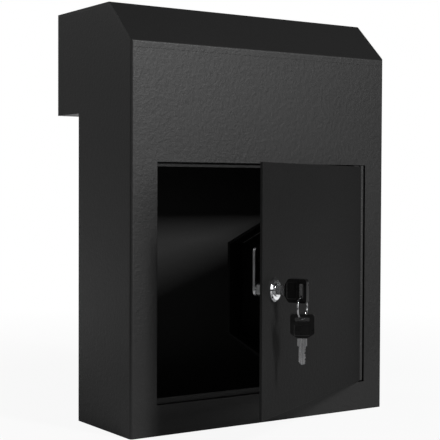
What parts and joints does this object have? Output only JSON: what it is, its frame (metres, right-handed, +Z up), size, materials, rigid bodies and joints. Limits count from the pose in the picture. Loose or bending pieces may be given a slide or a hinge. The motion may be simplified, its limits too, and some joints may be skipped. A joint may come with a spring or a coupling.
{
  "type": "key drop box",
  "caption": "Wall or door mounted steel key drop box with a sloping hood, a rear throat for a chute, and a hinged front door with a cam lock and keys.",
  "frame": {"origin": "centre of the four bolt holes, on the rear face of the back panel", "axes": "+X to the right seen from the front, +Y from the front to the rear, +Z up"},
  "size_m": [0.304, 0.2917, 0.406],
  "materials": {
    "black_coat": "fine textured black powder coat",
    "door_coat": "fine textured black powder coat",
    "hinge_steel": "thin black paint over bright steel",
    "bright_steel": "zinc plated",
    "chrome": "polished",
    "brass": "satin",
    "key_metal": "nickel plated",
    "key_plastic": "satin moulded"
  },
  "bodies": {
    "case": {"case_wrapper": "black_coat", "hood_panel": "black_coat", "bottom_panel": "black_coat", "back_panel": "black_coat", "throat_floor": "black_coat", "throat_frame": "black_coat", "chute_baffle": "black_coat", "door_stop_top": "black_coat", "door_stop_bottom": "black_coat", "strike_bracket": "black_coat", "frame_hinge_leaf": "hinge_steel", "hinge_pin": "bright_steel"},
    "door": {"door_panel": "door_coat", "door_hinge_leaf": "hinge_steel", "lock_guard": "door_coat", "lock_housing": "chrome", "lock_nut": "bright_steel"},
    "plug": {"lock_plug": "chrome", "lock_wafers": "brass", "lock_cam": "bright_steel", "cam_washer": "bright_steel", "cam_screw": "bright_steel"},
    "key": {"key_blade": "key_metal", "key_head": "key_plastic"},
    "ring": {"key_ring": "chrome"},
    "spare_key": {"spare_key_blade": "key_metal", "spare_key_head": "key_plastic"}
  },
  "joints": [
    {"name": "door_hinge", "type": "hinge", "parent": "case", "child": "door", "pos_m": [0.1234, -0.1037, 0], "axis": [0, 0, 1], "range_deg": [-29.3, 75.7]},
    {"name": "lock_turn", "type": "hinge", "parent": "door", "child": "plug", "pos_m": [-0.07055, -0.21254, -0.0094], "axis": [0.4894, -0.8721, 0], "range_deg": [0, 90]},
    {"name": "key_pull", "type": "slide", "parent": "plug", "child": "key", "axis": [0.4894, -0.8721, 0], "range_m": [0, 0.03]},
    {"name": "ring_swing", "type": "hinge", "parent": "key", "child": "ring", "pos_m": [-0.0566, -0.23739, -0.01777], "axis": [-0.4894, 0.8721, 0], "range_deg": [-90, 90]},
    {"name": "spare_key_swing", "type": "hinge", "parent": "ring", "child": "spare_key", "pos_m": [-0.0566, -0.23739, -0.03344], "axis": [-0.8721, -0.4894, 0], "range_deg": [-20, 45]}
  ]
}
